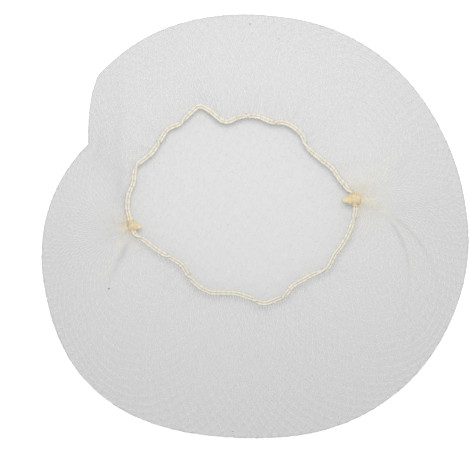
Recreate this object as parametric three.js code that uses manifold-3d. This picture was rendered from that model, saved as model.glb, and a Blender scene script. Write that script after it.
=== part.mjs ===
// A fine-mesh hairnet with an elastic edge, laid flat with its opening up. Millimetres, +Z up.
// The net is one hollow bag of netting: a flat crown below, a folded outer edge, and a top layer
// that comes back in to the opening. A loop of elastic runs round the opening, and a knot at
// each end binds the gathered netting to it.
import * as THREE from 'three';
import { LoftGeometry } from 'three/addons/geometries/LoftGeometry.js';
import { mergeVertices } from 'three/addons/utils/BufferGeometryUtils.js';
import Module from 'manifold-3d';

const wasm = await Module();
wasm.setup();

// Driving dimensions, in millimetres
const NET_WIDTH = 300; // across the laid net
const OPENING_WIDTH = 160; // across the opening, to the middle of the elastic
const NET_WALL = 1; // the netting's envelope: threads and their joints
const FOLD_HEIGHT = 4; // the bag's height where it folds at its outer edge
const FOLD_DEPTH = 2.5; // how far the rounded fold reaches inwards
const RIM_HEIGHT = 9; // from the floor to the middle of the elastic
const PUFF_HEIGHT = 11; // the top layer's highest run, between the elastic and the fold
const HEM_THICKNESS = 2; // netting bunched along the elastic
const HEM_WIDTH = 4;
const GATHER_HEIGHT = 0.7; // the ruffles that the elastic draws in
const GATHER_REACH = 26; // how far they run out from the elastic
const ELASTIC_DIAMETER = 3.6; // both strands of the elastic together
const ELASTIC_SWAY = 0.8; // how far the slack elastic rises and dips
const CLEARANCE = 0.3; // between pieces that touch
const KNOT_REACH = 9; // from the elastic to the tip of the longer knot's cut end
const KNOT_WIDTH = 6.6;
const BINDING_DIAMETER = 1.5; // one turn of a knot's binding
const BUNCH_THICKNESS = 1.4; // extra netting that crowds into each knot
const BUNCH_REACH = 11;
const CREASE_DEPTH = 2.6; // the dip between the notch in the outline and the left knot
const CREASE_WIDTH = 11;
const FOLD_LENGTH = 62; // the longest of the folds that fan out from the knots
const FOLD_RISE = 1.3; // the highest of them

// Counts
const SECTORS = 132;
const ELASTIC_SIDES = 7;
const GATHERS = 24;

// Where the top layer's stations lie, as shares of the way from the elastic to the outer fold
const TOP_STATIONS = [1, 0.86, 0.7, 0.54, 0.39, 0.26, 0.15, 0.06, 0];
const PUFF_AT = 0.28; // where the top layer is highest, on the same scale
const FOLD_STEPS = [-50, 0, 50]; // stations round the outer fold, in degrees

// The laid outline, seen from above about the middle of the opening. "at" is in degrees from +X
// towards +Y, "reach" is a share of half of NET_WIDTH, and a corner isn't smoothed.
const OUTLINE = [
  { at: 0, reach: 1.0395 }, { at: 20, reach: 0.9928 }, { at: 40, reach: 0.9623 },
  { at: 60, reach: 0.9296 }, { at: 80, reach: 0.8992 }, { at: 90, reach: 0.8945 },
  { at: 100, reach: 0.8969 }, { at: 120, reach: 0.9097 },
  { at: 138.4, reach: 0.9148, corner: 'shoulder' },
  { at: 144, reach: 0.8805 }, { at: 151, reach: 0.8314 },
  { at: 158.4, reach: 0.783, corner: 'notch' },
  { at: 166, reach: 0.8285 }, { at: 175, reach: 0.8817 }, { at: 185, reach: 0.9355 },
  { at: 195, reach: 0.9811 }, { at: 205, reach: 1.0208 }, { at: 215, reach: 1.0652 },
  { at: 225, reach: 1.1015 }, { at: 235, reach: 1.1166 }, { at: 245, reach: 1.1132 },
  { at: 255, reach: 1.1003 }, { at: 265, reach: 1.0921 }, { at: 275, reach: 1.0968 },
  { at: 285, reach: 1.1132 }, { at: 295, reach: 1.1284 }, { at: 305, reach: 1.1354 },
  { at: 315, reach: 1.1342 }, { at: 325, reach: 1.1225 }, { at: 335, reach: 1.105 },
  { at: 345, reach: 1.084 }, { at: 353, reach: 1.062 },
];

// The slack elastic's route round the opening: "reach" is a share of half of OPENING_WIDTH.
const ELASTIC_ROUTE = [
  { at: 0, reach: 0.979 }, { at: 5, reach: 0.956 }, { at: 10, reach: 0.908 },
  { at: 15, reach: 0.868 }, { at: 22, reach: 0.838 }, { at: 30, reach: 0.786 },
  { at: 40, reach: 0.751 }, { at: 45, reach: 0.757 }, { at: 50, reach: 0.794 },
  { at: 60, reach: 0.808 }, { at: 65, reach: 0.796 }, { at: 70, reach: 0.767 },
  { at: 75, reach: 0.769 }, { at: 81, reach: 0.783 }, { at: 93, reach: 0.769 },
  { at: 100, reach: 0.742 }, { at: 105, reach: 0.768 }, { at: 110, reach: 0.875 },
  { at: 114, reach: 0.944 }, { at: 120, reach: 0.929 }, { at: 128, reach: 0.906 },
  { at: 135, reach: 0.938 }, { at: 142, reach: 0.924 }, { at: 150, reach: 0.923 },
  { at: 155, reach: 0.955 }, { at: 160, reach: 0.998 }, { at: 169, reach: 0.987 },
  { at: 175, reach: 1.012 }, { at: 182, reach: 1.018 }, { at: 190, reach: 0.995 },
  { at: 195, reach: 0.984 }, { at: 200, reach: 0.921 }, { at: 210, reach: 0.836 },
  { at: 218, reach: 0.779 }, { at: 225, reach: 0.757 }, { at: 232, reach: 0.787 },
  { at: 240, reach: 0.813 }, { at: 249, reach: 0.819 }, { at: 256, reach: 0.793 },
  { at: 265, reach: 0.78 }, { at: 274, reach: 0.816 }, { at: 281, reach: 0.878 },
  { at: 290, reach: 0.875 }, { at: 295, reach: 0.868 }, { at: 301, reach: 0.83 },
  { at: 310, reach: 0.842 }, { at: 316, reach: 0.866 }, { at: 323, reach: 0.918 },
  { at: 331, reach: 0.91 }, { at: 340, reach: 0.938 }, { at: 350, reach: 0.964 },
];

// The two knots: where each sits on the elastic, the way its cut end points, and its share of
// KNOT_REACH
const KNOTS = [
  { name: 'knot_right', at: 3.5, points: 186, reach: 1 },
  { name: 'knot_left', at: 190.8, points: 348, reach: 0.88 },
];

// A knot's form, from the netting's side to its cut end: shares of KNOT_REACH from the elastic,
// and of half of KNOT_WIDTH
const KNOT_PROFILE = [
  { along: -0.5, radius: 0 }, { along: -0.46, radius: 0.52 }, { along: -0.28, radius: 0.86 },
  { along: 0, radius: 1 }, { along: 0.24, radius: 0.92 }, { along: 0.46, radius: 0.64 },
  { along: 0.78, radius: 0.5 }, { along: 0.94, radius: 0.36 }, { along: 1, radius: 0 },
];

// A knot's turns of binding: shares of KNOT_REACH from the elastic and of half of KNOT_WIDTH,
// and a tilt in degrees, so that two of them cross over the elastic
const BINDING = [
  { along: -0.34, radius: 0.72, tilt: 4 },
  { along: 0.38, radius: 0.7, tilt: -5 },
  { along: 0, radius: 1, tilt: 62 },
  { along: 0, radius: 1, tilt: -62 },
];

// Folds that fan out from a knot where the netting bunches. "heading" and "spread" are in
// degrees, and "length" and "height" in shares of FOLD_LENGTH and FOLD_RISE.
const FOLDS = [
  { from: 'knot_right', heading: 37, spread: 10, length: 0.9, height: 1 },
  { from: 'knot_right', heading: 2, spread: 11, length: 0.7, height: 0.7 },
  { from: 'knot_right', heading: -34, spread: 7, length: 1, height: 0.9 },
  { from: 'knot_right', heading: -52, spread: 6, length: 0.8, height: 0.7 },
  { from: 'knot_left', heading: 118, spread: 10, length: 0.7, height: 0.6 },
  { from: 'knot_left', heading: 176, spread: 12, length: 0.6, height: 0.7 },
  { from: 'knot_left', heading: 238, spread: 8, length: 0.9, height: 1 },
];

const MATERIALS = {
  net: new THREE.MeshStandardMaterial({ color: 0xdcdcdc, roughness: 0.8, metalness: 0 }),
  elastic: new THREE.MeshStandardMaterial({ color: 0xe6dfc4, roughness: 0.7, metalness: 0 }),
  knot: new THREE.MeshStandardMaterial({ color: 0xe3cfa0, roughness: 0.75, metalness: 0 }),
};

const radians = THREE.MathUtils.degToRad;
const up = new THREE.Vector3(0, 0, 1);

// The reach of a table at an angle: a smooth curve through its rows that keeps its corners
function reachAt(table, angle) {
  const count = table.length;
  const turned = ((angle % 360) + 360) % 360;
  const next = (table.findIndex((row) => row.at > turned) + count) % count;
  const rowAt = (index) => {
    const row = table[(index + count) % count];
    const turns = Math.floor(index / count);
    return { at: row.at + 360 * turns, reach: row.reach, corner: row.corner };
  };
  const start = table.some((row) => row.at > turned) ? next - 1 : count - 1;
  const [before, a, b, after] = [start - 1, start, start + 1, start + 2].map(rowAt);
  const slope = (p, q) => (q.reach - p.reach) / (q.at - p.at);
  const slopeA = a.corner ? slope(a, b) : slope(before, b);
  const slopeB = b.corner ? slope(a, b) : slope(a, after);
  const span = b.at - a.at;
  const t = (turned - a.at) / span;
  const rise = (slopeA * (1 - t) ** 2 * t - slopeB * (1 - t) * t ** 2) * span;
  return a.reach * (1 + 2 * t) * (1 - t) ** 2 + b.reach * t ** 2 * (3 - 2 * t) + rise;
}

function heading(angle) {
  return new THREE.Vector3(Math.cos(radians(angle)), Math.sin(radians(angle)), 0);
}

// The middle of the elastic at an angle about the opening
function elasticPoint(angle) {
  const sway = ELASTIC_SWAY * Math.sin(radians(3 * angle + 40)) * Math.cos(radians(2 * angle));
  const point = heading(angle).multiplyScalar((OPENING_WIDTH / 2) * reachAt(ELASTIC_ROUTE, angle));
  return point.setZ(RIM_HEIGHT + sway);
}

function elasticTangent(angle) {
  const step = 0.5;
  return elasticPoint(angle + step).sub(elasticPoint(angle - step)).normalize();
}

// Away from the opening, square to the elastic
function elasticOutward(angle) {
  return elasticTangent(angle).cross(up).normalize();
}

function outlinePoint(angle) {
  return heading(angle).multiplyScalar((NET_WIDTH / 2) * reachAt(OUTLINE, angle));
}

const smooth = (t) => THREE.MathUtils.smoothstep(t, 0, 1);
const bell = (distance, width) => Math.exp(-((distance / width) ** 2));
const knotPoint = (name) => elasticPoint(KNOTS.find((knot) => knot.name === name).at);

// How far the fans of folds lift the top layer at a point
function foldRise(point) {
  let rise = 0;
  for (const fold of FOLDS) {
    const away = point.clone().sub(knotPoint(fold.from)).setZ(0);
    const distance = away.length();
    const bearing = THREE.MathUtils.radToDeg(Math.atan2(away.y, away.x));
    const turn = ((bearing - fold.heading + 540) % 360) - 180;
    const along = Math.min(distance / (FOLD_LENGTH * fold.length), 1);
    const fade = smooth(distance / BUNCH_REACH) * (1 - smooth(along));
    rise += FOLD_RISE * fold.height * fade * bell(turn, fold.spread);
  }
  return rise;
}

// How far the crease that runs from the outline's notch to the left knot lowers the top layer
function creaseDip(point) {
  const notch = outlinePoint(OUTLINE.find((row) => row.corner === 'notch').at);
  const crease = new THREE.Line3(notch, knotPoint('knot_left').setZ(0));
  const nearest = crease.closestPointToPoint(point, true, new THREE.Vector3());
  const along = nearest.distanceTo(notch) / crease.distance();
  return CREASE_DEPTH * (1 - 0.7 * along) * bell(nearest.distanceTo(point), CREASE_WIDTH);
}

// How far a point of the top layer is from the netting's edge, which the elastic holds
function fromEdge(point, angle) {
  const away = point.clone().sub(elasticPoint(angle)).setZ(0);
  return away.length() - ELASTIC_DIAMETER / 2 - CLEARANCE;
}

// The middle of the top layer, a share "out" of the way from the elastic to the outer fold
function topPoint(angle, out) {
  const elastic = elasticPoint(angle);
  const seat = elasticOutward(angle).multiplyScalar(ELASTIC_DIAMETER / 2 + CLEARANCE);
  const fold = outlinePoint(angle).addScaledVector(heading(angle), -FOLD_DEPTH);
  const point = elastic.clone().add(seat).setZ(0).lerp(fold, out);
  const edge = FOLD_HEIGHT - NET_WALL / 2;
  const inside = elastic.z + (PUFF_HEIGHT - RIM_HEIGHT) * smooth(out / PUFF_AT);
  const past = Math.max(0, (out - PUFF_AT) / (1 - PUFF_AT));
  const height = edge + (inside - edge) * (1 - past ** 1.8);
  const wave = Math.cos(radians(GATHERS * angle) + 2 * Math.sin(radians(5 * angle)));
  const gather = GATHER_HEIGHT * wave * bell(fromEdge(point, angle), GATHER_REACH);
  const loose = smooth(fromEdge(point, angle) / HEM_WIDTH) * smooth((1 - out) * 4);
  const shape = (gather + foldRise(point)) * loose - creaseDip(point) * smooth((1 - out) * 6);
  return point.setZ(height + shape);
}

// The top layer is thicker along the elastic, and where it crowds into a knot
function topThickness(point, angle) {
  const hem = (HEM_THICKNESS - NET_WALL) * (1 - smooth(fromEdge(point, angle) / HEM_WIDTH));
  const toKnots = KNOTS.map((knot) => elasticPoint(knot.at).sub(point).setZ(0).length());
  const bunch = BUNCH_THICKNESS * bell(Math.min(...toKnots), BUNCH_REACH);
  return NET_WALL + Math.max(hem, bunch);
}

// A point of the outer fold: "turn" goes from -90 degrees underneath to 90 on top
function foldPoint(angle, turn, inset) {
  const across = (FOLD_DEPTH - inset) * Math.cos(radians(turn));
  const height = FOLD_HEIGHT / 2 + (FOLD_HEIGHT / 2 - inset) * Math.sin(radians(turn));
  return outlinePoint(angle).addScaledVector(heading(angle), across - FOLD_DEPTH).setZ(height);
}

// One station of the net's section: a ring of points round the whole bag
function ring(pointAt) {
  return sectorAngles().map(pointAt);
}

// Even sectors, with the nearest one moved onto each corner of the outline
function sectorAngles() {
  const step = 360 / SECTORS;
  const angles = Array.from({ length: SECTORS }, (_, i) => i * step);
  for (const row of OUTLINE.filter((each) => each.corner)) angles[Math.round(row.at / step)] = row.at;
  return angles;
}

// A closed geometry as a solid, without the faces that shrink to nothing, and back
function solidOf(geometry) {
  const bare = new THREE.BufferGeometry().copy(geometry);
  bare.deleteAttribute('normal');
  bare.deleteAttribute('uv');
  const merged = mergeVertices(bare, 1e-4);
  const corners = Array.from(merged.index.array);
  const faces = corners.flatMap((a, i) => (i % 3 ? [] : [[a, corners[i + 1], corners[i + 2]]]));
  const whole = faces.filter(([a, b, c]) => a !== b && b !== c && c !== a);
  const vertProperties = merged.attributes.position.array;
  const triVerts = new Uint32Array(whole.flat());
  return new wasm.Manifold(new wasm.Mesh({ numProp: 3, vertProperties, triVerts }));
}

function geometryOf(solid) {
  const { vertProperties, triVerts } = solid.getMesh();
  const geometry = new THREE.BufferGeometry();
  geometry.setAttribute('position', new THREE.BufferAttribute(new Float32Array(vertProperties), 3));
  geometry.setIndex(new THREE.BufferAttribute(new Uint32Array(triVerts), 1));
  geometry.computeVertexNormals();
  return geometry;
}

// The bag: its section runs from the middle of the crown's underside, round the fold, in over
// the top layer to the elastic, and back along the inside to the middle
function netSolid() {
  const crown = (share, inset) => ring((angle) => {
    const edge = foldPoint(angle, -90, inset);
    return new THREE.Vector3(edge.x * share, edge.y * share, edge.z);
  });
  const fold = (turn, inset) => ring((angle) => foldPoint(angle, turn, inset));
  const top = (out, side) => ring((angle) => {
    const point = topPoint(angle, out);
    return point.addScaledVector(up, (side * topThickness(point, angle)) / 2);
  });
  const rings = [
    crown(0, 0),
    crown(1, 0),
    ...FOLD_STEPS.map((turn) => fold(turn, 0)),
    ...TOP_STATIONS.map((out) => top(out, 1)),
    ...TOP_STATIONS.toReversed().map((out) => top(out, -1)),
    ...FOLD_STEPS.toReversed().map((turn) => fold(turn, NET_WALL)),
    crown(1, NET_WALL),
    crown(0, NET_WALL),
  ];
  return solidOf(new LoftGeometry(rings));
}

// The elastic, or with more than its own diameter the room that it needs
function elasticSolid(diameter) {
  const section = (angle) => Array.from({ length: ELASTIC_SIDES }, (_, side) => {
    const turn = radians(90 + (360 * side) / ELASTIC_SIDES);
    const point = elasticPoint(angle).addScaledVector(up, (diameter / 2) * Math.cos(turn));
    return point.addScaledVector(elasticOutward(angle), (diameter / 2) * Math.sin(turn));
  });
  const sections = ring(section);
  return solidOf(new LoftGeometry([...sections, sections[0]]));
}

// A knot: a tapering lump of bound netting with turns of binding round it. "grown" is added to it
// all round, for the room that it needs in the net.
function knotSolid(knot, grown) {
  const reach = KNOT_REACH * knot.reach;
  const half = KNOT_WIDTH / 2;
  const middle = (KNOT_PROFILE[0].along + 1) / 2;
  const stretch = 1 + (2 * grown) / (reach * (1 - KNOT_PROFILE[0].along));
  const profile = KNOT_PROFILE.map(({ along, radius }) => new THREE.Vector2(
    radius * (half + grown),
    reach * (middle + (along - middle) * stretch),
  ));
  let solid = solidOf(new THREE.LatheGeometry(profile, 12));
  for (const turn of BINDING) {
    const thickness = BINDING_DIAMETER / 2 + grown;
    const loop = new THREE.TorusGeometry(half * turn.radius, thickness, 5, 14).rotateX(Math.PI / 2);
    loop.rotateZ(radians(turn.tilt)).translate(0, KNOT_REACH * turn.along, 0);
    solid = solid.add(solidOf(loop));
  }
  const inward = heading(knot.points);
  const frame = new THREE.Matrix4().makeBasis(inward.clone().cross(up), inward, up);
  return solid.transform(frame.setPosition(elasticPoint(knot.at)).toArray());
}

function mesh(name, solid, material) {
  const made = new THREE.Mesh(geometryOf(solid), material.clone());
  made.name = name;
  return made;
}

// The net, the elastic and the knots about the middle of the opening
function pieces() {
  const room = elasticSolid(ELASTIC_DIAMETER + 2 * CLEARANCE);
  const seats = KNOTS.map((knot) => knotSolid(knot, CLEARANCE));
  const net = seats.reduce((left, seat) => left.subtract(seat), netSolid());
  return [
    mesh('net', net, MATERIALS.net),
    mesh('elastic', elasticSolid(ELASTIC_DIAMETER), MATERIALS.elastic),
    ...KNOTS.map((knot) => mesh(knot.name, knotSolid(knot, 0).subtract(room), MATERIALS.knot)),
  ];
}

// The origin is on the floor under the middle of the laid net
const hairnet = new THREE.Group();
hairnet.name = 'hairnet';
hairnet.add(...pieces());
const middle = new THREE.Box3().setFromObject(hairnet).getCenter(new THREE.Vector3());
hairnet.position.set(-middle.x, -middle.y, 0);

export default hairnet;
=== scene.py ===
# The looks of a fine-mesh hairnet that lies flat with its opening up: a translucent bag of knotted
# netting, the slack elastic that its edge is looped over, and the two knots that gather it.
import math

import bpy
import numpy as np
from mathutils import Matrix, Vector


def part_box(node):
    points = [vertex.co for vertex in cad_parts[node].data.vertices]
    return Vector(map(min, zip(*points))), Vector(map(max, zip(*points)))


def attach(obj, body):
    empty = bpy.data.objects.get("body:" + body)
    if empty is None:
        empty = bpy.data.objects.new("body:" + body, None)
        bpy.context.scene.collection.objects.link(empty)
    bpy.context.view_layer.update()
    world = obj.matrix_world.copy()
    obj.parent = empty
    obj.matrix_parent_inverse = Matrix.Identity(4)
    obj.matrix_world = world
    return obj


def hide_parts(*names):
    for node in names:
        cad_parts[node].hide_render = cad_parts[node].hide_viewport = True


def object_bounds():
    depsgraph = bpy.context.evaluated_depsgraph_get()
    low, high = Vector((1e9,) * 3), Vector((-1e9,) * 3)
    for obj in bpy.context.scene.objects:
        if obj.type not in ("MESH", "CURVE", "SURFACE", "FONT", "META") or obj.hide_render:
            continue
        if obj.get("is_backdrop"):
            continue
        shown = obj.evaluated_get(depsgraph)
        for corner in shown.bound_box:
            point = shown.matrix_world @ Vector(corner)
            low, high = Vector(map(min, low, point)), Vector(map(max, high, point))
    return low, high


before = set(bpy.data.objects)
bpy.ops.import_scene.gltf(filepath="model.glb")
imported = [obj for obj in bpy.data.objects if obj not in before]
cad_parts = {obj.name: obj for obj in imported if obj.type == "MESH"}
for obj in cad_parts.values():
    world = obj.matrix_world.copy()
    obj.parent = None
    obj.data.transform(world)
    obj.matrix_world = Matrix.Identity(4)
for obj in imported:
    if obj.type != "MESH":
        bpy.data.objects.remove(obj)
cad_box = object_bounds()

MM = 0.001

# Sizes that the solids also have
ELASTIC_DIAMETER = 3.6 * MM
ELASTIC_SWAY = 0.8 * MM
RIM_HEIGHT = 9 * MM
PUFF_HEIGHT = 11 * MM
PUFF_AT = 0.28
FOLD_HEIGHT = 3.5 * MM  # to the middle of the solid's wall
FOLD_DEPTH = 2.5 * MM
GATHERS = 24
GATHER_HEIGHT = 0.7 * MM
GATHER_REACH = 26 * MM
HEM_WIDTH = 4 * MM
CREASE_DEPTH = 2.6 * MM
CREASE_WIDTH = 11 * MM
KNOT_REACH = 9 * MM
KNOT_WIDTH = 6.6 * MM

# The top layer's form. Its shares are of the way from the elastic to the outer fold.
RIM_SHIFT = 0.3  # of the elastic's diameter, from its middle out to the layer's inner edge
SLOPE_POWER = 1.8  # the slope steepens from the highest run to the fold
RUFFLE_END = 1 / 4  # the last share, in which the gathers and folds run out
CREASE_END = 1 / 6  # the last share, in which the crease runs out

# The mesh, which is too fine for the solids
THREAD_RADIUS = 0.15 * MM
THREAD_SIDES = 5
THREAD_PIECES = 3  # that the threads are split into
FLOOR_GAP = 0.15 * MM  # the crown's netting rests on its own threads
MESH_ACROSS = 4.65 * MM  # half of a mesh's width, where the bag is widest
MESH_ALONG = 3.85 * MM  # half of its length, along the threads from knot to knot
MESH_POINTS = 4  # points of a thread in each half mesh
SIDE_BY_SIDE = 0.2  # the share at each end of a half mesh in which two threads run side by side
SWING = 0.94  # how far a thread swings between its two lines, as a share of their distance
STRAIGHT_STEPS = 6  # half meshes from each knot in which the threads part
DRIFT = 0.35  # how far the meshes drift along the threads, in half meshes
DRIFT_LINES = 19  # threads from one such drift to the next
CROWN_TWIST = 12  # degrees that the crown's netting is turned on the surface
CROWN_CALM = 0.32  # the share of the way to the elastic up to which it is turned as a whole
CROWN_BLEND = 0.3  # the share in which the turn fades out
WAIST_SAMPLES = 1500
LINE_SAMPLES = 700
LINE_END = 5.2  # how far a thread line goes to each side of the waist: its knots are at infinity

# The veil of fine hairs between the threads
VEIL_STEP = 0.6  # degrees
CROWN_SHARE = 0.58  # the share of the way to the elastic that surely lies flat
CROWN_RINGS = 5
OUTER_RINGS = 100
UPPER_FROM = 0.4  # the share of the fold's height from which the veil has the top layer's grey, painted lighter

# Finer forms than the solids have
FINE_GATHERS = 61
FINE_GATHER_HEIGHT = 0.3 * MM
FINE_GATHER_REACH = 12 * MM
FAN_LOFT = 0.3 * MM  # how far the threads of a fan lie over each other
FAN_LOFTS = (-0.4, 1)  # the lowest and the highest thread, as shares of it
FAN_REACH = 14 * MM
FAN_THINNING = 0.7  # how much thinner the threads are where they are stretched at a knot
THINNING_REACH = 56 * MM
CREASE_FADE = 0.95  # how much of the crease's depth is gone where it reaches the knot
CREASE_SHADE = 0.15  # how far the crease goes towards the shade of the grooves

# The elastic's two strands
STRAND_RADIUS = 0.92 * MM
STRAND_POINTS = 1080
STRAND_SIDES = 9
STRAND_CROSSINGS = 14  # how often one strand passes over the other on their way round
CROSSING_SHARE = 0.3  # the share of the way between two crossings that each of them takes
CROSSING_DRIFT = 0.3  # how far the crossings drift from even steps, in steps
CROSSING_WAVES = 5  # how often they do so on their way round
ROCKING = 0.25  # radians that the strands rock between the crossings
ROCKING_WAVES = 17
STRAND_PLUMPING = 0.04  # how much thicker a strand swells, as a share of its radius
PLUMP_EVERY = 2.4 * MM

# The netting's edge that loops over the elastic
EDGE_LOOPS = 118
EDGE_LOOP_POINTS = 14
EDGE_LOOP_SIDES = 5
EDGE_LOOP_LEAN = 0.35  # along the elastic, as a share of the loop's radius
EDGE_LOOP_LIFT = 0.075 * MM  # from the elastic's surface to the middle of the thread
EDGE_LOOP_RADIUS = 0.18 * MM  # the thread's own radius

# The laid outline about the middle of the opening: degrees from +X towards +Y, and reach as a
# share of half of the net's width. A row that ends in a name is a corner.
OUTLINE = [
    (0, 1.0395), (20, 0.9928), (40, 0.9623), (60, 0.9296), (80, 0.8992), (90, 0.8945),
    (100, 0.8969), (120, 0.9097), (138.4, 0.9148, "shoulder"), (144, 0.8805), (151, 0.8314),
    (158.4, 0.783, "notch"), (166, 0.8285), (175, 0.8817), (185, 0.9355), (195, 0.9811),
    (205, 1.0208), (215, 1.0652), (225, 1.1015), (235, 1.1166), (245, 1.1132), (255, 1.1003),
    (265, 1.0921), (275, 1.0968), (285, 1.1132), (295, 1.1284), (305, 1.1354), (315, 1.1342),
    (325, 1.1225), (335, 1.105), (345, 1.084), (353, 1.062),
]

# The slack elastic's route: degrees, and reach as a share of half of the opening's width
ELASTIC_ROUTE = [
    (0, 0.979), (5, 0.956), (10, 0.908), (15, 0.868), (22, 0.838), (30, 0.786), (40, 0.751),
    (45, 0.757), (50, 0.794), (60, 0.808), (65, 0.796), (70, 0.767), (75, 0.769), (81, 0.783),
    (93, 0.769), (100, 0.742), (105, 0.768), (110, 0.875), (114, 0.944), (120, 0.929),
    (128, 0.906), (135, 0.938), (142, 0.924), (150, 0.923), (155, 0.955), (160, 0.998),
    (169, 0.987), (175, 1.012), (182, 1.018), (190, 0.995), (195, 0.984), (200, 0.921),
    (210, 0.836), (218, 0.779), (225, 0.757), (232, 0.787), (240, 0.813), (249, 0.819),
    (256, 0.793), (265, 0.78), (274, 0.816), (281, 0.878), (290, 0.875), (295, 0.868),
    (301, 0.83), (310, 0.842), (316, 0.866), (323, 0.918), (331, 0.91), (340, 0.938),
    (350, 0.964),
]

# Where each knot sits on the elastic, the way its cut end points, its shares of KNOT_REACH and
# KNOT_WIDTH, how far it is set towards the opening, and how far its binding goes to either side
# along the elastic, in degrees round the opening
KNOTS = {
    "knot_right": {
        "at": 2.9, "points": 186, "reach": 1.0, "girth": 1.25, "ahead": 0, "binding": 3.8,
    },
    "knot_left": {
        "at": 190.4, "points": 348, "reach": 0.68, "girth": 0.98, "ahead": 1 * MM, "binding": 2.6,
    },
}

# A knot's form: shares of its reach from the elastic, and of half of its width
KNOT_PROFILE = [
    (-0.5, 0.0), (-0.46, 0.52), (-0.28, 0.86), (0.0, 1.0), (0.24, 0.92), (0.46, 0.64),
    (0.78, 0.5), (0.94, 0.36), (1.0, 0.0),
]
LUMP_STATIONS = 60
LUMP_SIDES = 48
LUMP_SMOOTHING = 5  # stations that are averaged
LUMP_GIRTH = 0.9409  # of the profile, because the binding presses the lump in
FLUTES = 9
FLUTE_DEPTH = 0.0485
FLUTE_TWIST = 4  # radians in a length of the knot's reach

# A knot's yarn: coils round the lump, from one share of its reach to another, bands across the
# elastic, by their tilt in degrees and their girth as a share of the lump's, and the binding round
# the elastic. A lift is from the surface below to the middle of the yarn.
YARN_RADIUS = 0.36 * MM
YARN_SIDES = 7
COILS = [(-0.42, -0.2), (0.3, 0.5)]
COIL_TURNS = 4
COIL_POINTS = 40  # in each turn
COIL_LIFT = 0.2 * MM
BANDS = [(62, 1.08), (-62, 1.02)]
BAND_SHIFTS = (-0.75 * MM, 0, 0.75 * MM)  # bands of one tilt lie side by side
BAND_POINTS = 48
BAND_RADIUS = 0.38 * MM
BINDING_PITCH = 0.58  # degrees round the opening from one turn to the next
BINDING_POINTS = 16  # in each turn
BINDING_LIFT = 0.25 * MM

# Folds that fan out from the knots. Their columns are the knot, the heading 10 mm from it and its
# turn with each further millimetre in degrees, the width and height of the ridge, where it ends,
# how cream the bunched threads make it, a cream also painted lighter to offset their shade, how
# dark the shade painted in the groove beside it is and where that starts, and on which side of
# the ridge it is.
FOLDS = [
    ("knot_right", 45, 0.0, 5.0 * MM, 0.7 * MM, 62 * MM, 0.5, 0.45, 28 * MM, -1),
    ("knot_right", 2, 0.0, 8.0 * MM, 0.4 * MM, 34 * MM, 0.3, 0.0, 0, -1),
    ("knot_right", -24, -0.35, 4.5 * MM, 0.2 * MM, 50 * MM, 0.3, 0.0, 0, -1),
    ("knot_right", -16, -0.65, 2.0 * MM, 0.6 * MM, 110 * MM, 0.5, 0.85, 23 * MM, -1),
    ("knot_right", -12, -0.43, 2.0 * MM, 0.5 * MM, 110 * MM, 0.4, 0.75, 23 * MM, -1),
    ("knot_left", 92, 0.0, 7.0 * MM, 0.4 * MM, 130 * MM, 0.1, 0.35, 10 * MM, 1),
    ("knot_left", 176, 0.0, 9.0 * MM, 0.3 * MM, 34 * MM, 0.2, 0.0, 0, 1),
    ("knot_left", 243, 0.0, 3.0 * MM, 0.6 * MM, 60 * MM, 0.6, 0.95, 6 * MM, 1),
]
HEADING_AT = 10 * MM
RIDGE_FROM = 6 * MM  # from the knot
RIDGE_GROWTH = 12 * MM  # in which the ridge comes up
STEEP_SIDE = 0.6  # how wide a ridge is on its groove's side, as a share of the other
# where the shade painted in a fold's groove lies
GROOVE_AT = 1.1  # from the middle of the ridge, in widths of the ridge
GROOVE_WIDTH = 0.65  # in widths of the ridge
GROOVE_GROWTH = 14 * MM  # in which the groove comes up

# How far the cream of the bunched threads, also painted lighter to offset their shade, and the
# colour of the binding spread from each knot
CREAM_AND_LIGHT_REACH = {"knot_right": 15 * MM, "knot_left": 11 * MM}
BINDING_REACH = 5.5 * MM

# Specks of lint on the top layer: the angle, the share of the way out, and the radius
LINT = [
    (211.8, 0.5, 0.55 * MM), (88, 0.93, 0.45 * MM), (78, 0.8, 0.35 * MM),
    (291.8, 0.61, 0.3 * MM), (267.3, 0.98, 0.35 * MM),
]

# Colours
BINDING_COLOUR = (0.54, 0.44, 0.27)
# the veil's cream where threads bunch at the knots, painted lighter to offset their shade
VEIL_CREAM_AND_LIGHT = (0.72, 0.69, 0.585)
VEIL_BOUND = (0.68, 0.59, 0.42)
# the threads' cream at the knots, painted lighter to offset their shade
THREAD_CREAM_AND_LIGHT = (0.575, 0.553, 0.468)
CLOUDING = 0.015  # how much the netting's grey varies, as a share of it

# The photo's frame and the net in it, in the photo's pixels
PHOTO_SIDE = 470
PHOTO_NET_WIDTH = 427.6
PHOTO_NET_MIDDLE = (255.1, 226.15)

# The room, in metres
CAMERA_HEIGHT = 1.6
FLOOR_HALF_WIDTH = 4


def smooth(t):
    t = np.clip(t, 0, 1)
    return t * t * (3 - 2 * t)


def bell(distance, width):
    return np.exp(-((distance / width) ** 2))


def reach_at(table, degrees):
    """A smooth curve through the table's rows that keeps its corners."""
    count = len(table)
    at = np.array([row[0] for row in table], float)
    reach = np.array([row[1] for row in table], float)
    corner = np.array([len(row) > 2 for row in table])
    turned = np.mod(degrees, 360)
    start = np.searchsorted(at, turned, side="right") - 1

    def row(step):
        index = start + step
        return at[index % count] + 360 * (index // count), reach[index % count]

    (at0, r0), (at1, r1), (at2, r2), (at3, r3) = row(-1), row(0), row(1), row(2)
    across = (r2 - r1) / (at2 - at1)
    slope1 = np.where(corner[start % count], across, (r2 - r0) / (at2 - at0))
    slope2 = np.where(corner[(start + 1) % count], across, (r3 - r1) / (at3 - at1))
    span = at2 - at1
    t = (turned - at1) / span
    rise = (slope1 * (1 - t) ** 2 * t - slope2 * (1 - t) * t**2) * span
    return r1 * (1 + 2 * t) * (1 - t) ** 2 + r2 * t**2 * (3 - 2 * t) + rise


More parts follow.
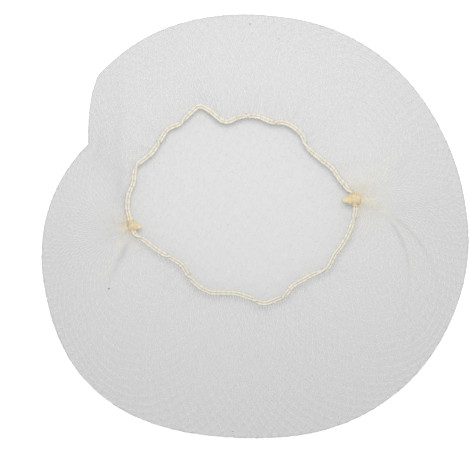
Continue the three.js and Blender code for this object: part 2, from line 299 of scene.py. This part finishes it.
def heading(degrees):
    """Level unit vectors, one for each angle."""
    turn = np.radians(degrees)
    return np.stack([np.cos(turn), np.sin(turn), np.zeros_like(turn)], axis=-1)


def span_of(table):
    """The width of a table's shape in half widths, and its middle."""
    angles = np.arange(0, 360, 0.25)
    points = heading(angles) * reach_at(table, angles)[:, None]
    low, high = points.min(axis=0), points.max(axis=0)
    return high[0] - low[0], (low + high) / 2


# The half widths that the tables are shares of, and the middle of the opening, from the solids
net_low, net_high = (np.array(corner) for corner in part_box("net"))
loop_low, loop_high = (np.array(corner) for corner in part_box("elastic"))
outline_span, outline_middle = span_of(OUTLINE)
HALF_NET = (net_high[0] - net_low[0]) / outline_span
HALF_OPENING = (loop_high[0] - loop_low[0] - ELASTIC_DIAMETER) / span_of(ELASTIC_ROUTE)[0]
MIDDLE = ((net_low + net_high) / 2 - outline_middle * HALF_NET) * (1, 1, 0)


def unit(vectors):
    return vectors / np.maximum(np.linalg.norm(vectors, axis=-1, keepdims=True), 1e-12)


def level(points):
    return points * (1, 1, 0)


def elastic_point(degrees):
    degrees = np.asarray(degrees, float)
    sway = np.sin(np.radians(3 * degrees + 40)) * np.cos(np.radians(2 * degrees))
    point = heading(degrees) * (HALF_OPENING * reach_at(ELASTIC_ROUTE, degrees))[..., None]
    point[..., 2] = RIM_HEIGHT + ELASTIC_SWAY * sway
    return point


def elastic_outward(degrees):
    """Away from the opening, square to the elastic."""
    along = elastic_point(np.asarray(degrees) + 0.5) - elastic_point(np.asarray(degrees) - 0.5)
    return unit(np.cross(along, (0, 0, 1)))


def outline_point(degrees):
    return heading(degrees) * (HALF_NET * reach_at(OUTLINE, degrees))[..., None]


def fold_shares(points):
    """For each fold: how much of a point is on its ridge, how much in the groove beside it, where
    shade is painted, and the fold's height, its share of cream painted lighter, and the darkness
    of its painted shade."""
    behind = 1  # a metre aside, which is out of a fold's reach
    for knot, start, bend, width, height, length, cream_and_light, dark, dark_from, side in FOLDS:
        away = level(points - elastic_point(KNOTS[knot]["at"]))
        distance = np.linalg.norm(away, axis=-1)
        bearing = np.degrees(np.arctan2(away[..., 1], away[..., 0]))
        turn = np.mod(bearing - start - bend * (distance - HEADING_AT) / MM + 180, 360) - 180
        aside = side * np.where(abs(turn) < 90, distance * np.sin(np.radians(turn)), behind)
        fade = 1 - smooth(distance / length)
        ridge = bell(aside, np.where(aside > 0, width * STEEP_SIDE, width))
        ridge = ridge * fade * smooth((distance - RIDGE_FROM) / RIDGE_GROWTH)
        painted_groove_shade = bell(aside - width * GROOVE_AT, width * GROOVE_WIDTH)
        painted_groove_shade = painted_groove_shade * fade * smooth((distance - dark_from) / GROOVE_GROWTH)
        yield ridge, painted_groove_shade, height, cream_and_light, dark


def fold_rise(points):
    """How far the folds that fan out from the knots lift the top layer."""
    return sum(ridge * height for ridge, _, height, _, _ in fold_shares(points))


def notch_crease(points):
    """How far points are along the crease from the outline's notch to the left knot, and how near
    to it."""
    notch = outline_point(np.array([row[0] for row in OUTLINE if row[-1] == "notch"]))[0]
    crease = level(elastic_point(KNOTS["knot_left"]["at"])) - notch
    along = np.clip((level(points) - notch) @ crease / (crease @ crease), 0, 1)
    away = np.linalg.norm(level(points) - notch - along[..., None] * crease, axis=-1)
    return along, bell(away, CREASE_WIDTH)


def crease_dip(points):
    """How far the crease from the outline's notch to the left knot lowers the top layer."""
    along, near = notch_crease(points)
    return CREASE_DEPTH * (1 - CREASE_FADE * along) * near


def tones(points):
    """How far each point is in the top layer, whose grey is painted lighter; how cream its bunched
    threads are there, painted lighter too; how dark the shade painted in its grooves and along the
    crease is; and how near it is to the colour of the binding."""
    points = points - MIDDLE
    along, near = notch_crease(points)
    # painted shade along the crease's valley from the notch to the left knot, fading towards the
    # knot
    dark = CREASE_SHADE * near * (1 - along**3)
    cream_and_light = np.zeros_like(dark)
    bound = np.zeros_like(dark)
    for knot, reach in CREAM_AND_LIGHT_REACH.items():
        distance = np.linalg.norm(level(points - elastic_point(KNOTS[knot]["at"])), axis=-1)
        cream_and_light += bell(distance, reach)
        bound += bell(distance, BINDING_REACH)
    # the ridges take the cream painted lighter, and the grooves painted shade
    for ridge, painted_groove_shade, _, cream_and_light_share, dark_share in fold_shares(points):
        cream_and_light += ridge * cream_and_light_share
        dark += painted_groove_shade * dark_share
    # the top layer, whose grey is painted lighter to offset the shade it casts on the crown
    on_top = smooth((points[..., 2] - FLOOR_GAP - THREAD_RADIUS) / MM)
    return {
        "upper_painted_light": on_top,
        "cream_and_light": np.clip(cream_and_light, 0, 1) * on_top,
        "painted_groove_shade": np.clip(dark, 0, 1) * on_top,
        "bound": np.clip(bound, 0, 1) * on_top,
    }


def ruffle(degrees, count, unevenness, waves):
    """A wave that comes "count" times round the opening, at uneven steps."""
    return np.cos(np.radians(count * degrees) + unevenness * np.sin(np.radians(waves * degrees)))


def top_point(degrees, out):
    """The top layer, a share "out" of the way from the elastic to the outer fold."""
    elastic = elastic_point(degrees)
    rim = level(elastic + elastic_outward(degrees) * ELASTIC_DIAMETER * RIM_SHIFT)
    fold = outline_point(degrees) - heading(degrees) * FOLD_DEPTH
    point = rim + (fold - rim) * out[..., None]
    inside = elastic[..., 2] + (PUFF_HEIGHT - RIM_HEIGHT) * smooth(out / PUFF_AT)
    past = np.clip((out - PUFF_AT) / (1 - PUFF_AT), 0, 1)
    height = FOLD_HEIGHT + (inside - FOLD_HEIGHT) * (1 - past**SLOPE_POWER)
    distance = np.linalg.norm(level(point - elastic), axis=-1) - ELASTIC_DIAMETER / 2
    gather = ruffle(degrees, GATHERS, unevenness=2, waves=5) * bell(distance, GATHER_REACH)
    fine = ruffle(degrees, FINE_GATHERS, unevenness=3, waves=7) * bell(distance, FINE_GATHER_REACH)
    rise = GATHER_HEIGHT * gather + FINE_GATHER_HEIGHT * fine + fold_rise(point)
    rise = rise * smooth(distance / HEM_WIDTH) * smooth((1 - out) / RUFFLE_END)
    dip = crease_dip(point) * smooth((1 - out) / CREASE_END)
    point[..., 2] = height + rise - dip
    return point


def fold_point(degrees, turn):
    """The rounded outer edge: "turn" goes from -90 degrees underneath to 90 on top."""
    turn = np.radians(turn)
    middle, half = (FOLD_HEIGHT + FLOOR_GAP) / 2, (FOLD_HEIGHT - FLOOR_GAP) / 2
    across = FOLD_DEPTH * (np.cos(turn) - 1)
    point = outline_point(degrees) + heading(degrees) * across[..., None]
    point[..., 2] = middle + half * np.sin(turn)
    return point


def bag_point(degrees, share):
    """The netting, a share of the way from the middle of the crown, round the fold and over the
    top layer to the elastic."""
    degrees, share = np.broadcast_arrays(np.asarray(degrees, float), np.asarray(share, float))
    crown_length = HALF_NET * reach_at(OUTLINE, degrees) - FOLD_DEPTH
    fold_length = np.full_like(crown_length, math.pi / 2 * (FOLD_DEPTH + FOLD_HEIGHT / 2))
    top_length = crown_length - HALF_OPENING * reach_at(ELASTIC_ROUTE, degrees)
    way = share * (crown_length + fold_length + top_length)
    crown = heading(degrees) * np.minimum(way, crown_length)[..., None]
    crown[..., 2] = FLOOR_GAP
    fold = fold_point(degrees, 180 * np.clip((way - crown_length) / fold_length, 0, 1) - 90)
    out = 1 - np.clip((way - crown_length - fold_length) / top_length, 0, 1)
    top = top_point(degrees, out)
    on_fold, on_top = way > crown_length, way > crown_length + fold_length
    point = np.where(on_fold[..., None], fold, crown)
    return np.where(on_top[..., None], top, point) + MIDDLE


def line_point(across, along):
    """A point of the thread line that leaves the right knot at the angle "across" and ends in the
    left knot. The lines between the knots are arcs of a disc that the whole bag is spread to."""
    spread = np.tanh((along + 1j * across) / 2)
    share = np.clip(abs(spread), 0, 1)
    turn = np.degrees(np.angle(spread))
    right, left = KNOTS["knot_right"]["at"], KNOTS["knot_left"]["at"]
    degrees = right + turn * np.where(turn > 0, left - right, right + 360 - left) / 180
    turned = CROWN_TWIST * (1 - smooth((share - CROWN_CALM) / CROWN_BLEND))
    return bag_point(degrees + turned, share)


def travelled(points):
    """The length of each line of points up to each of its points."""
    steps = np.linalg.norm(np.diff(points, axis=-2), axis=-1)
    start = np.zeros(steps.shape[:-1] + (1,))
    return np.concatenate([start, np.cumsum(steps, axis=-1)], axis=-1)


def link(thing):
    bpy.context.scene.collection.objects.link(thing)
    return thing


def mesh_piece(name, points, faces, materials, slot):
    """A smooth piece of the object, made of points and of faces that index them."""
    data = bpy.data.meshes.new(name)
    data.from_pydata(points.tolist(), [], faces)
    for material in materials:
        data.materials.append(material)
    data.shade_smooth()
    piece = link(bpy.data.objects.new(name, data))
    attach(piece, "root")
    return piece


def tint(piece, points):
    """Keeps the tones of the points in the piece's mesh."""
    for name, share in tones(points).items():
        piece.data.attributes.new(name, "FLOAT", "POINT").data.foreach_set("value", share)


def tubes(paths, radius, sides, closed=False):
    """Points and faces of one tube along each path. "radius" is one number or one for each point."""
    lines, steps = paths.shape[:2]
    ahead, behind = np.roll(paths, -1, axis=1), np.roll(paths, 1, axis=1)
    if not closed:
        ahead[:, -1], behind[:, 0] = paths[:, -1], paths[:, 0]
    tangent = unit(ahead - behind)
    normal = np.empty_like(paths)
    askew = (0.3, 0.2, 1)  # along none of the paths
    carried = unit(np.cross(tangent[:, 0], askew))
    for step in range(steps):
        facing = tangent[:, step]
        carried = unit(carried - (carried * facing).sum(axis=-1, keepdims=True) * facing)
        normal[:, step] = carried
    side = np.cross(tangent, normal)
    turn = np.arange(sides) * 2 * math.pi / sides
    ring = normal[:, :, None] * np.cos(turn)[:, None] + side[:, :, None] * np.sin(turn)[:, None]
    radii = np.broadcast_to(np.asarray(radius, float), (lines, steps))
    points = paths[:, :, None] + ring * radii[:, :, None, None]
    index = np.arange(lines * steps * sides).reshape(lines, steps, sides)
    here, there = (index, np.roll(index, -1, axis=1)) if closed else (index[:, :-1], index[:, 1:])
    corners = here, there, np.roll(there, -1, axis=2), np.roll(here, -1, axis=2)
    faces = np.stack(corners, axis=-1).reshape(-1, 4).tolist()
    if not closed:
        faces += index[:, 0, ::-1].tolist() + index[:, -1].tolist()
    return points.reshape(-1, 3), faces


def joined(shapes):
    """Several shapes of points and faces as one."""
    points, faces = [], []
    for shape_points, shape_faces in shapes:
        start = sum(map(len, points))
        points.append(shape_points)
        faces += [[start + corner for corner in face] for face in shape_faces]
    return np.concatenate(points), faces


# Materials


def nodes_of(name):
    material = bpy.data.materials.new(name)
    material.use_nodes = True
    tree = material.node_tree
    return material, tree, tree.nodes["Principled BSDF"]


def speckle(tree, low, high, scale, detail=4.0):
    """A soft cloudy mix of two colours in object space."""
    place = tree.nodes.new("ShaderNodeTexCoord")
    noise = tree.nodes.new("ShaderNodeTexNoise")
    noise.inputs["Scale"].default_value = scale
    noise.inputs["Detail"].default_value = detail
    ramp = tree.nodes.new("ShaderNodeValToRGB")
    ramp.color_ramp.elements[0].position = 0.3
    ramp.color_ramp.elements[0].color = (*low, 1)
    ramp.color_ramp.elements[1].position = 0.7
    ramp.color_ramp.elements[1].color = (*high, 1)
    tree.links.new(place.outputs["Object"], noise.inputs["Vector"])
    tree.links.new(noise.outputs["Fac"], ramp.inputs["Fac"])
    return ramp.outputs["Color"]


def toned(tree, colour, tone, other):
    """The colour, mixed with another by a tone that is kept in the mesh."""
    share = tree.nodes.new("ShaderNodeAttribute")
    share.attribute_name = tone
    mix = tree.nodes.new("ShaderNodeMix")
    mix.data_type = "RGBA"
    mix.inputs["B"].default_value = (*other, 1)
    tree.links.new(share.outputs["Fac"], mix.inputs["Factor"])
    tree.links.new(colour, mix.inputs["A"])
    return mix.outputs["Result"]


def netting_material(name, lower, upper_painted_light, cream_and_light, bound, painted_groove_shade, alpha):
    """Netting in the grey of the crown and the top layer's grey, painted lighter to offset shade;
    creamy and painted lighter where it is bunched at the knots, and darker in its grooves with
    painted shade."""
    material, tree, shader = nodes_of(name)
    low, high = lower * (1 - CLOUDING), lower * (1 + CLOUDING)
    colour = speckle(tree, (low,) * 3, (high,) * 3, scale=180, detail=2.0)
    # the top layer's grey, painted lighter to offset shade
    colour = toned(tree, colour, "upper_painted_light", (upper_painted_light,) * 3)
    # the cream of bunched threads, painted lighter to offset their shade
    colour = toned(tree, colour, "cream_and_light", cream_and_light)
    # painted shade in the grooves and along the crease
    colour = toned(tree, colour, "painted_groove_shade", (painted_groove_shade,) * 3)
    colour = toned(tree, colour, "bound", bound)
    tree.links.new(colour, shader.inputs["Base Color"])
    shader.inputs["Roughness"].default_value = 0.85
    shader.inputs["Specular IOR Level"].default_value = 0.1
    shader.inputs["Alpha"].default_value = alpha
    return material


def yarn_material(name, low, high, ridge, roughness):
    """Wound or covered yarn: cloudy in colour, with fine ridges round it."""
    material, tree, shader = nodes_of(name)
    colour = speckle(tree, low, high, scale=420, detail=6.0)
    tree.links.new(toned(tree, colour, "bound", BINDING_COLOUR), shader.inputs["Base Color"])
    place = tree.nodes.new("ShaderNodeTexCoord")
    wave = tree.nodes.new("ShaderNodeTexWave")
    wave.bands_direction = "DIAGONAL"
    wave.inputs["Scale"].default_value = ridge
    wave.inputs["Distortion"].default_value = 3
    bump = tree.nodes.new("ShaderNodeBump")
    bump.inputs["Strength"].default_value = 0.35
    bump.inputs["Distance"].default_value = 0.1 * MM
    tree.links.new(place.outputs["Object"], wave.inputs["Vector"])
    tree.links.new(wave.outputs["Fac"], bump.inputs["Height"])
    tree.links.new(bump.outputs["Normal"], shader.inputs["Normal"])
    shader.inputs["Roughness"].default_value = roughness
    shader.inputs["Sheen Weight"].default_value = 0.6
    return material


# Pieces


def veil():
    """The bag as one thin sheet, in two greys: the crown that lies below, and the top layer, whose
    grey is painted lighter to offset the shade it casts on the crown.
    """
    around = np.union1d(np.arange(0, 360, VEIL_STEP), [row[0] for row in OUTLINE if len(row) > 2])
    crown = np.linspace(0, CROWN_SHARE, CROWN_RINGS + 1)[1:]
    outer = np.linspace(CROWN_SHARE, 1, OUTER_RINGS + 1)[1:]
    points = bag_point(around[None, :], np.concatenate([crown, outer])[:, None])
    index = np.arange(points[..., 0].size).reshape(points.shape[:2])
    below, above = index[:-1], index[1:]
    corners = below, above, np.roll(above, -1, axis=1), np.roll(below, -1, axis=1)
    faces = np.stack(corners, axis=-1).reshape(-1, 4).tolist()
    faces += [[index.size, *pair] for pair in zip(index[0].tolist(), np.roll(index[0], -1).tolist())]
    points = np.concatenate([points.reshape(-1, 3), [MIDDLE + (0, 0, FLOOR_GAP)]])
    # the top layer's veil is painted a lighter grey than the crown's to offset the shade it casts,
    # and the grooves' grey is painted shade
    layers = [
        netting_material(
            "netting_below", lower=0.436, upper_painted_light=0.436, cream_and_light=VEIL_CREAM_AND_LIGHT, bound=VEIL_BOUND,
            painted_groove_shade=0.40, alpha=0.92,
        ),
        netting_material(
            "netting_above_painted_light", lower=0.645, upper_painted_light=0.645, cream_and_light=VEIL_CREAM_AND_LIGHT, bound=VEIL_BOUND,
            painted_groove_shade=0.40, alpha=0.28,
        ),
    ]
    piece = mesh_piece("netting_veil", points, faces, layers, "net")
    tint(piece, points)
    # the top layer takes the material with the lighter painted grey
    for face in piece.data.polygons:
        face.material_index = int(face.center.z > FOLD_HEIGHT * UPPER_FROM)
    return piece


def mesh_lines():
    """Lines from knot to knot with marks at even steps: the angle at which each line leaves the
    right knot, how far along it each of its marks is, and how many half meshes it has. The lines
    are spaced evenly where the bag is widest."""
    angles = np.linspace(-math.pi / 2, math.pi / 2, WAIST_SAMPLES)
    waist = travelled(line_point(angles, np.zeros_like(angles)))
    lines = 2 * round(waist[-1] / MESH_ACROSS / 2)
    across = np.interp(np.linspace(0, waist[-1], lines + 1), waist, angles)
    reach = np.linspace(-LINE_END, LINE_END, LINE_SAMPLES)
    way = travelled(line_point(across[:, None], reach[None, :]))
    steps = 2 * round(way[lines // 2, -1] / MESH_ALONG / 2)
    marks = np.linspace(0, 1, steps * MESH_POINTS + 1)
    drift = DRIFT / steps * np.sin(2 * math.pi * np.arange(lines + 1) / DRIFT_LINES)
    places = (marks + drift[:, None] * np.sin(math.pi * marks)) * way[:, -1:]
    along = np.array([np.interp(place, full, reach) for place, full in zip(places, way)])
    return across, along, steps


def thread_paths():
    """Each thread runs from knot to knot and zigzags between two lines, so that it meets its
    neighbours in turn and they make meshes together."""
    across, along, steps = mesh_lines()
    lines = len(across) - 1
    place = np.arange(steps * MESH_POINTS + 1) / MESH_POINTS
    first = np.arange(lines)[:, None]
    turning = smooth((place % 1 - SIDE_BY_SIDE) / (1 - 2 * SIDE_BY_SIDE))
    swing = np.where((place.astype(int) + first) % 2 == 0, turning, 1 - turning)
    parting = smooth(np.minimum(place, place[-1] - place) / STRAIGHT_STEPS)
    line = first + 0.5 + (swing - 0.5) * SWING * parting
    column = np.broadcast_to(np.arange(len(place)), line.shape)
    lower = np.minimum(line.astype(int), lines - 1)
    part = line - lower
    across_here = across[lower] * (1 - part) + across[lower + 1] * part
    along_here = along[lower, column] * (1 - part) + along[lower + 1, column] * part
    return line_point(across_here, along_here)


def netting():
    """The threads. They are thinner near a knot, and at it they lie over each other."""
    paths = thread_paths()
    loft = np.random.default_rng(7).uniform(*FAN_LOFTS, len(paths))[:, None]
    radius = np.full(paths.shape[:-1], THREAD_RADIUS)
    on_top = paths[..., 2] > FOLD_HEIGHT
    for placed in KNOTS.values():
        near = np.linalg.norm(level(paths - MIDDLE - elastic_point(placed["at"])), axis=-1)
        paths[..., 2] += on_top * FAN_LOFT * loft * bell(near, FAN_REACH)
        radius *= 1 - on_top * FAN_THINNING * bell(near, THINNING_REACH)
    # the top layer's threads are painted lighter than the crown's to offset shade, and the grooves'
    # grey is painted shade
    material = netting_material(
        "netting_thread", lower=0.482, upper_painted_light=0.52, cream_and_light=THREAD_CREAM_AND_LIGHT, bound=BINDING_COLOUR,
        painted_groove_shade=0.38, alpha=1,
    )
    pieces = []
    for number, part in enumerate(np.array_split(np.arange(len(paths)), THREAD_PIECES)):
        points, faces = tubes(paths[part], radius[part], THREAD_SIDES)
        pieces.append(mesh_piece(f"netting_threads_{number + 1}", points, faces, [material], "net"))
        tint(pieces[-1], points)
    return pieces


def elastic():
    """Two strands, each turning slowly round the middle of the elastic's route."""
    degrees = np.arange(STRAND_POINTS) * 360 / STRAND_POINTS
    middle = elastic_point(degrees)
    outward = elastic_outward(degrees)
    way = travelled(np.concatenate([middle, middle[:1]]))
    drift = CROSSING_DRIFT * np.sin(np.radians(CROSSING_WAVES * degrees))
    lay = STRAND_CROSSINGS * way[:-1] / way[-1] + drift
    crossing = smooth((lay % 1 - (1 - CROSSING_SHARE) / 2) / CROSSING_SHARE)
    rocking = ROCKING * np.sin(np.radians(ROCKING_WAVES * degrees))
    twist = math.pi * (np.floor(lay) + crossing) + rocking
    offset = ELASTIC_DIAMETER / 2 - STRAND_RADIUS
    strands = []
    for start in (0, math.pi):
        turn = (twist + start)[:, None]
        strands.append(middle + offset * (outward * np.cos(turn) + np.sin(turn) * (0, 0, 1)))
    plump = STRAND_RADIUS * (1 + STRAND_PLUMPING * np.sin(2 * math.pi * way[:-1] / PLUMP_EVERY))
    shape = tubes(np.array(strands) + MIDDLE, plump, STRAND_SIDES, closed=True)
    material = yarn_material(
        "elastic_yarn", low=(0.42, 0.392, 0.32), high=(0.49, 0.466, 0.392), ridge=900,
        roughness=0.6,
    )
    piece = mesh_piece("elastic_strands", *shape, [material], "elastic")
    tint(piece, shape[0])
    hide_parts("elastic")
    return piece


def knot_lump(reach, half):
    """The bunched netting in a knot, along Y: a fluted lump with its cut end."""
    along, radius = (np.array(column) for column in zip(*KNOT_PROFILE))
    stations = np.linspace(along[0], along[-1], LUMP_STATIONS)
    body = np.pad(np.interp(stations, along, radius) * half, LUMP_SMOOTHING // 2, mode="edge")
    body = np.convolve(body, np.ones(LUMP_SMOOTHING) / LUMP_SMOOTHING, mode="valid")
    turn = np.linspace(0, 2 * math.pi, LUMP_SIDES, endpoint=False)
    flutes = FLUTE_DEPTH * np.sin(FLUTES * turn + FLUTE_TWIST * stations[:, None])
    fluted = body[:, None] * (LUMP_GIRTH + flutes)
    lump = np.stack([
        fluted * np.cos(turn),
        np.broadcast_to(stations[:, None] * reach, fluted.shape),
        fluted * np.sin(turn),
    ], axis=-1)
    index = np.arange(fluted.size).reshape(fluted.shape)
    corners = index[:-1], np.roll(index[:-1], -1, axis=1), np.roll(index[1:], -1, axis=1), index[1:]
    faces = np.stack(corners, axis=-1).reshape(-1, 4).tolist()
    faces += [index[0].tolist(), index[-1][::-1].tolist()]
    return lump.reshape(-1, 3), faces


def knot_coil(first, last, reach, half):
    """Turns of yarn round the lump, from one share of its reach to another."""
    along, radius = (np.array(column) for column in zip(*KNOT_PROFILE))
    turn = np.linspace(0, 2 * math.pi * COIL_TURNS, COIL_POINTS * COIL_TURNS)
    where = np.linspace(first, last, len(turn))
    ring = np.interp(where, along, radius) * half + COIL_LIFT
    coil = np.stack([ring * np.cos(turn), where * reach, ring * np.sin(turn)], axis=-1)
    return tubes(coil[None], YARN_RADIUS, YARN_SIDES)


def knot_band(tilt, shift, ring):
    """One turn of yarn that crosses over the elastic at a tilt, in degrees."""
    turn = np.linspace(0, 2 * math.pi, BAND_POINTS, endpoint=False)
    band = np.stack([ring * np.cos(turn), np.full_like(turn, shift), ring * np.sin(turn)], axis=-1)
    lean = math.radians(tilt)
    spin = np.array([
        [math.cos(lean), math.sin(lean), 0],
        [-math.sin(lean), math.cos(lean), 0],
        [0, 0, 1],
    ])
    return tubes((band @ spin)[None], BAND_RADIUS, YARN_SIDES, closed=True)


def knot_binding(placed):
    """Turns of yarn round the elastic, to both sides of the knot."""
    rounds = round(2 * placed["binding"] / BINDING_PITCH)
    turn = np.linspace(0, 2 * math.pi * rounds, BINDING_POINTS * rounds)[:, None]
    degrees = placed["at"] + placed["binding"] * np.linspace(-1, 1, len(turn))
    around = elastic_outward(degrees) * np.cos(turn) + np.sin(turn) * (0, 0, 1)
    path = elastic_point(degrees) + MIDDLE + around * (ELASTIC_DIAMETER / 2 + BINDING_LIFT)
    return tubes(path[None], YARN_RADIUS, YARN_SIDES)


def knot(name):
    """A lump of bunched netting, bound by turns of yarn, with its cut end towards the opening."""
    placed = KNOTS[name]
    reach, half = KNOT_REACH * placed["reach"], KNOT_WIDTH / 2 * placed["girth"]
    shapes = [knot_lump(reach, half)]
    shapes += [knot_coil(first, last, reach, half) for first, last in COILS]
    for tilt, girth in BANDS:
        shapes += [knot_band(tilt, shift * girth, half * girth) for shift in BAND_SHIFTS]
    points, faces = joined(shapes)
    inward = heading(np.array(float(placed["points"])))
    axes = np.array([np.cross(inward, (0, 0, 1)), inward, (0, 0, 1)])
    points = (points + (0, placed["ahead"], 0)) @ axes + elastic_point(placed["at"]) + MIDDLE
    shape = joined([(points, faces), knot_binding(placed)])
    material = yarn_material(
        f"{name}_yarn", low=(0.43, 0.35, 0.196), high=(0.503, 0.424, 0.264), ridge=1100,
        roughness=0.7,
    )
    piece = mesh_piece(name.replace("knot", "bound_knot"), *shape, [material], "binding")
    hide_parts(name)
    return piece


def edge_loops():
    """The threads of the netting's edge that loop over the elastic."""
    degrees = np.linspace(0, 360, EDGE_LOOPS, endpoint=False)
    outward = elastic_outward(degrees)[:, None]
    turn = np.linspace(0, 2 * math.pi, EDGE_LOOP_POINTS, endpoint=False)[:, None]
    lean = np.cross(outward, (0, 0, 1)) * EDGE_LOOP_LEAN * np.sin(turn)
    around = outward * np.cos(turn) + np.sin(turn) * (0, 0, 1) + lean
    middle = (elastic_point(degrees) + MIDDLE)[:, None]
    rings = middle + around * (ELASTIC_DIAMETER / 2 + EDGE_LOOP_LIFT)
    shape = tubes(rings, EDGE_LOOP_RADIUS, EDGE_LOOP_SIDES, closed=True)
    material = yarn_material(
        "edge_thread", low=(0.42, 0.41, 0.36), high=(0.49, 0.48, 0.43), ridge=900, roughness=0.6,
    )
    return mesh_piece("edge_loops", *shape, [material], "net")


def lint():
    """The few dark specks that lie on the top layer: fibres that curl up."""
    turn = np.linspace(0, 1.6 * math.pi, 12)
    curl = np.stack([np.cos(turn), 0.8 * np.sin(turn), 0.25 + 0.1 * np.sin(3 * turn)], axis=-1)
    shapes = []
    for degrees, out, radius in LINT:
        place = top_point(np.array([float(degrees)]), np.array([out]))[0] + MIDDLE
        curl_radius, fibre_radius = 0.6 * radius, 0.55 * radius
        shapes.append(tubes((place + curl * curl_radius)[None], fibre_radius, sides=6))
    material = yarn_material(
        "lint_fibre", low=(0.05, 0.048, 0.045), high=(0.11, 0.105, 0.10), ridge=900, roughness=0.8,
    )
    return mesh_piece("lint_specks", *joined(shapes), [material], "net")


# The room


def floor():
    half = FLOOR_HALF_WIDTH
    corners = [(-half, -half, 0), (half, -half, 0), (half, half, 0), (-half, half, 0)]
    data = bpy.data.meshes.new("floor")
    data.from_pydata(corners, [], [(0, 1, 2, 3)])
    material, tree, shader = nodes_of("floor_paper")
    tree.links.new(speckle(tree, (0.93,) * 3, (0.94,) * 3, scale=3), shader.inputs["Base Color"])
    shader.inputs["Roughness"].default_value = 0.9
    shader.inputs["Specular IOR Level"].default_value = 0
    data.materials.append(material)
    link(bpy.data.objects.new("floor", data))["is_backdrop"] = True


def lamp(name, place, size, power):
    """A round softbox that faces straight down."""
    data = bpy.data.lights.new(name, "AREA")
    data.shape = "DISK"
    data.size = size
    data.energy = power
    link(bpy.data.objects.new(name, data)).location = place


def lights():
    lamp("overhead", place=(0, 0, 1.75), size=0.15, power=13.5)
    lamp("near", place=(-0.01, 0.14, 0.5), size=0.3, power=2.27)
    world = bpy.data.worlds.new("studio")
    world.use_nodes = True
    background = world.node_tree.nodes["Background"]
    background.inputs["Color"].default_value = (1, 1, 1, 1)
    background.inputs["Strength"].default_value = 0.62
    bpy.context.scene.world = world
    bpy.context.scene.view_settings.view_transform = "Standard"


def camera():
    """Straight above, as the photo is taken. The net isn't quite in the middle of the photo."""
    pixel = (net_high[0] - net_low[0]) / PHOTO_NET_WIDTH
    right, up = PHOTO_SIDE / 2 - PHOTO_NET_MIDDLE[0], PHOTO_NET_MIDDLE[1] - PHOTO_SIDE / 2
    data = bpy.data.cameras.new("camera")
    data.lens = data.sensor_width * (CAMERA_HEIGHT - FOLD_HEIGHT) / (PHOTO_SIDE * pixel)
    eye = link(bpy.data.objects.new("camera", data))
    eye.location = (right * pixel, up * pixel, CAMERA_HEIGHT)
    bpy.context.scene.camera = eye


camera()
strands = elastic()
for name in KNOTS:
    knot(name)
sheet = veil()
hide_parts("net")
threads = netting()
loops = edge_loops()
lint()
floor()
lights()

sizes = {"cad": cad_box, "visual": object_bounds()}
{name: [list(corner) for corner in box] for name, box in sizes.items()}
